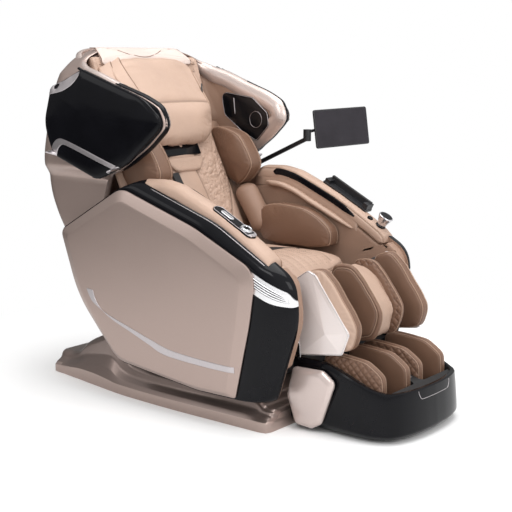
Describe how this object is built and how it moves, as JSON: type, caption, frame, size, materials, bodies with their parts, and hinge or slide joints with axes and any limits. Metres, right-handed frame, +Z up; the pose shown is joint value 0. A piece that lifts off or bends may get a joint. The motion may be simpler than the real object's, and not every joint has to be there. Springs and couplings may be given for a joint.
{
  "type": "massage chair",
  "caption": "Full-body massage chair with tilting seat body, reclining back with side wings, lifting calf rest, sliding foot box and tablet arm.",
  "frame": {"origin": "on the floor, in the chair's mirror plane, under the base near the seat's middle", "axes": "+Z up; the sitter faces -Y; the sitter's left is +X"},
  "size_m": [1.1275, 1.541, 1.243],
  "materials": {
    "base_shell": "satin champagne metallic paint",
    "base_chassis": "grey powder coat",
    "transport_wheels": "black moulded",
    "seat_frame": "grey powder coat",
    "seat_cushion": "beige upholstery",
    "hip_cushion_right": "brown upholstery, piped",
    "hip_cushion_left": "brown upholstery, piped",
    "side_panel_right": "satin champagne metallic paint",
    "side_panel_left": "satin champagne metallic paint",
    "side_band_right": "high gloss black",
    "side_band_left": "high gloss black",
    "side_lining_right": "tan upholstery",
    "side_lining_left": "tan upholstery",
    "side_lamp_right": "clear lens over a silver reflector",
    "side_lamp_left": "clear lens over a silver reflector",
    "armrest_right": "beige upholstery",
    "armrest_left": "beige upholstery",
    "control_console": "high gloss black",
    "phone_cradle": "satin black",
    "tablet_bracket": "satin black",
    "control_dial": "bright plated",
    "start_button": "bright plated",
    "hand_control": "satin champagne metallic paint",
    "tablet_arm": "satin black",
    "tablet_link": "satin black",
    "tablet": "dark screen",
    "back_shell": "satin champagne metallic paint",
    "head_lining": "tan upholstery",
    "hood_panel": "beige upholstery",
    "wing_panel_right": "high gloss black",
    "wing_panel_left": "high gloss black",
    "speaker_panel_right": "high gloss black",
    "speaker_panel_left": "high gloss black",
    "back_pad": "beige upholstery",
    "roller_track": "grey powder coat",
    "shoulder_cushion_right": "brown upholstery, piped",
    "shoulder_cushion_left": "brown upholstery, piped",
    "head_pillow": "beige upholstery",
    "massage_carriage": "grey powder coat",
    "kneading_arm_right": "grey powder coat",
    "kneading_arm_left": "grey powder coat",
    "roller_lower_right": "black moulded",
    "roller_lower_left": "black moulded",
    "roller_upper_right": "black moulded",
    "roller_upper_left": "black moulded",
    "calf_frame": "satin black",
    "calf_pad_right": "brown upholstery, piped",
    "calf_pad_left": "brown upholstery, piped",
    "calf_divider": "brown upholstery, piped",
    "calf_shell_right": "satin champagne metallic paint",
    "calf_shell_left": "satin champagne metallic paint",
    "foot_box": "high gloss black",
    "foot_cover_right": "satin champagne metallic paint",
    "foot_cover_left": "satin champagne metallic paint",
    "foot_pad_outer_right": "brown upholstery, piped",
    "foot_pad_outer_left": "brown upholstery, piped",
    "foot_pad_inner_right": "brown upholstery, piped",
    "foot_pad_inner_left": "brown upholstery, piped",
    "foot_slide_rods": "bright plated",
    "foot_roller": "black moulded"
  },
  "bodies": {
    "base": {"base_shell": "base_shell", "base_chassis": "base_chassis"},
    "wheels": {"transport_wheels": "transport_wheels"},
    "seat": {"seat_frame": "seat_frame", "seat_cushion": "seat_cushion", "hip_cushion_right": "hip_cushion_right", "hip_cushion_left": "hip_cushion_left", "side_panel_right": "side_panel_right", "side_panel_left": "side_panel_left", "side_band_right": "side_band_right", "side_band_left": "side_band_left", "side_lining_right": "side_lining_right", "side_lining_left": "side_lining_left", "side_lamp_right": "side_lamp_right", "side_lamp_left": "side_lamp_left", "armrest_right": "armrest_right", "armrest_left": "armrest_left", "control_console": "control_console", "phone_cradle": "phone_cradle", "tablet_bracket": "tablet_bracket"},
    "dial": {"control_dial": "control_dial"},
    "button": {"start_button": "start_button"},
    "hand_control": {"hand_control": "hand_control"},
    "tablet_arm": {"tablet_arm": "tablet_arm"},
    "tablet_link": {"tablet_link": "tablet_link"},
    "tablet": {"tablet": "tablet"},
    "backrest": {"back_shell": "back_shell", "head_lining": "head_lining", "hood_panel": "hood_panel", "wing_panel_right": "wing_panel_right", "wing_panel_left": "wing_panel_left", "speaker_panel_right": "speaker_panel_right", "speaker_panel_left": "speaker_panel_left", "back_pad": "back_pad", "roller_track": "roller_track", "shoulder_cushion_right": "shoulder_cushion_right", "shoulder_cushion_left": "shoulder_cushion_left"},
    "pillow": {"head_pillow": "head_pillow"},
    "carriage": {"massage_carriage": "massage_carriage"},
    "kneader_right": {"kneading_arm_right": "kneading_arm_right"},
    "kneader_left": {"kneading_arm_left": "kneading_arm_left"},
    "roller_lower_right": {"roller_lower_right": "roller_lower_right"},
    "roller_lower_left": {"roller_lower_left": "roller_lower_left"},
    "roller_upper_right": {"roller_upper_right": "roller_upper_right"},
    "roller_upper_left": {"roller_upper_left": "roller_upper_left"},
    "leg": {"calf_frame": "calf_frame", "calf_pad_right": "calf_pad_right", "calf_pad_left": "calf_pad_left", "calf_divider": "calf_divider", "calf_shell_right": "calf_shell_right", "calf_shell_left": "calf_shell_left"},
    "foot": {"foot_box": "foot_box", "foot_cover_right": "foot_cover_right", "foot_cover_left": "foot_cover_left", "foot_pad_outer_right": "foot_pad_outer_right", "foot_pad_outer_left": "foot_pad_outer_left", "foot_pad_inner_right": "foot_pad_inner_right", "foot_pad_inner_left": "foot_pad_inner_left", "foot_slide_rods": "foot_slide_rods"},
    "foot_roller": {"foot_roller": "foot_roller"}
  },
  "joints": [
    {"name": "wheel_roll", "type": "hinge", "parent": "base", "child": "wheels", "pos_m": [0, 0.77, 0.036], "axis": [1, 0, 0], "continuous": true},
    {"name": "zero_gravity_tilt", "type": "hinge", "parent": "base", "child": "seat", "pos_m": [0, 0.1, 0.17], "axis": [-1, 0, 0], "range_deg": [0, 15]},
    {"name": "back_recline", "type": "hinge", "parent": "seat", "child": "backrest", "pos_m": [0, 0.4, 0.45], "axis": [-1, 0, 0], "range_deg": [0, 38]},
    {"name": "leg_lift", "type": "hinge", "parent": "seat", "child": "leg", "pos_m": [0, -0.31, 0.475], "axis": [-1, 0, 0], "range_deg": [0, 78]},
    {"name": "foot_extend", "type": "slide", "parent": "leg", "child": "foot", "axis": [0, -0.1633, -0.9866], "range_m": [0, 0.14]},
    {"name": "foot_roller_spin", "type": "hinge", "parent": "foot", "child": "foot_roller", "pos_m": [0, -0.52, 0.06], "axis": [1, 0, 0], "continuous": true},
    {"name": "pillow_flip", "type": "hinge", "parent": "backrest", "child": "pillow", "pos_m": [0, 0.592, 1.184], "axis": [-1, 0, 0], "range_deg": [0, 10]},
    {"name": "carriage_travel", "type": "slide", "parent": "backrest", "child": "carriage", "axis": [0, 0.4274, 0.9041], "range_m": [0, 0.36]},
    {"name": "knead_left", "type": "hinge", "parent": "carriage", "child": "kneader_left", "pos_m": [0.066, 0.40394, 0.63617], "axis": [1, 0, 0], "range_deg": [-8, 8]},
    {"name": "knead_right", "type": "hinge", "parent": "carriage", "child": "kneader_right", "pos_m": [-0.066, 0.40394, 0.63617], "axis": [1, 0, 0], "range_deg": [-8, 8]},
    {"name": "roll_lower_right", "type": "hinge", "parent": "kneader_right", "child": "roller_lower_right", "pos_m": [-0.0885, 0.36318, 0.57802], "axis": [1, 0, 0], "continuous": true},
    {"name": "roll_upper_right", "type": "hinge", "parent": "kneader_right", "child": "roller_upper_right", "pos_m": [-0.0885, 0.42301, 0.70459], "axis": [1, 0, 0], "continuous": true},
    {"name": "roll_lower_left", "type": "hinge", "parent": "kneader_left", "child": "roller_lower_left", "pos_m": [0.0885, 0.36318, 0.57802], "axis": [1, 0, 0], "continuous": true},
    {"name": "roll_upper_left", "type": "hinge", "parent": "kneader_left", "child": "roller_upper_left", "pos_m": [0.0885, 0.42301, 0.70459], "axis": [1, 0, 0], "continuous": true},
    {"name": "dial_turn", "type": "hinge", "parent": "seat", "child": "dial", "pos_m": [-0.33625, -0.19604, 0.65558], "axis": [0, -0.4648, 0.8854], "continuous": true},
    {"name": "button_press", "type": "slide", "parent": "seat", "child": "button", "axis": [0, 0.4648, -0.8854], "range_m": [0, 0.0015], "stiffness_N_per_m": 400, "springref_m": -0.0005},
    {"name": "hand_control_lift", "type": "slide", "parent": "seat", "child": "hand_control", "axis": [0, -0.5391, 0.8423], "range_m": [0, 0.08]},
    {"name": "tablet_arm_swing", "type": "hinge", "parent": "seat", "child": "tablet_arm", "pos_m": [0.42, 0.43, 0.742], "axis": [0, 0, 1], "range_deg": [-5, 85]},
    {"name": "tablet_link_swing", "type": "hinge", "parent": "tablet_arm", "child": "tablet_link", "pos_m": [0.42, 0.108, 0.909], "axis": [0, 0, 1], "range_deg": [-30, 60]},
    {"name": "tablet_turn", "type": "hinge", "parent": "tablet_link", "child": "tablet", "pos_m": [0.46163, 0.07615, 0.93449], "axis": [0.2179, 0.966, -0.1391], "range_deg": [-90, 20]}
  ],
  "couplings": [
    {"joint": "knead_right", "follows": "knead_left", "ratio": -1}
  ]
}
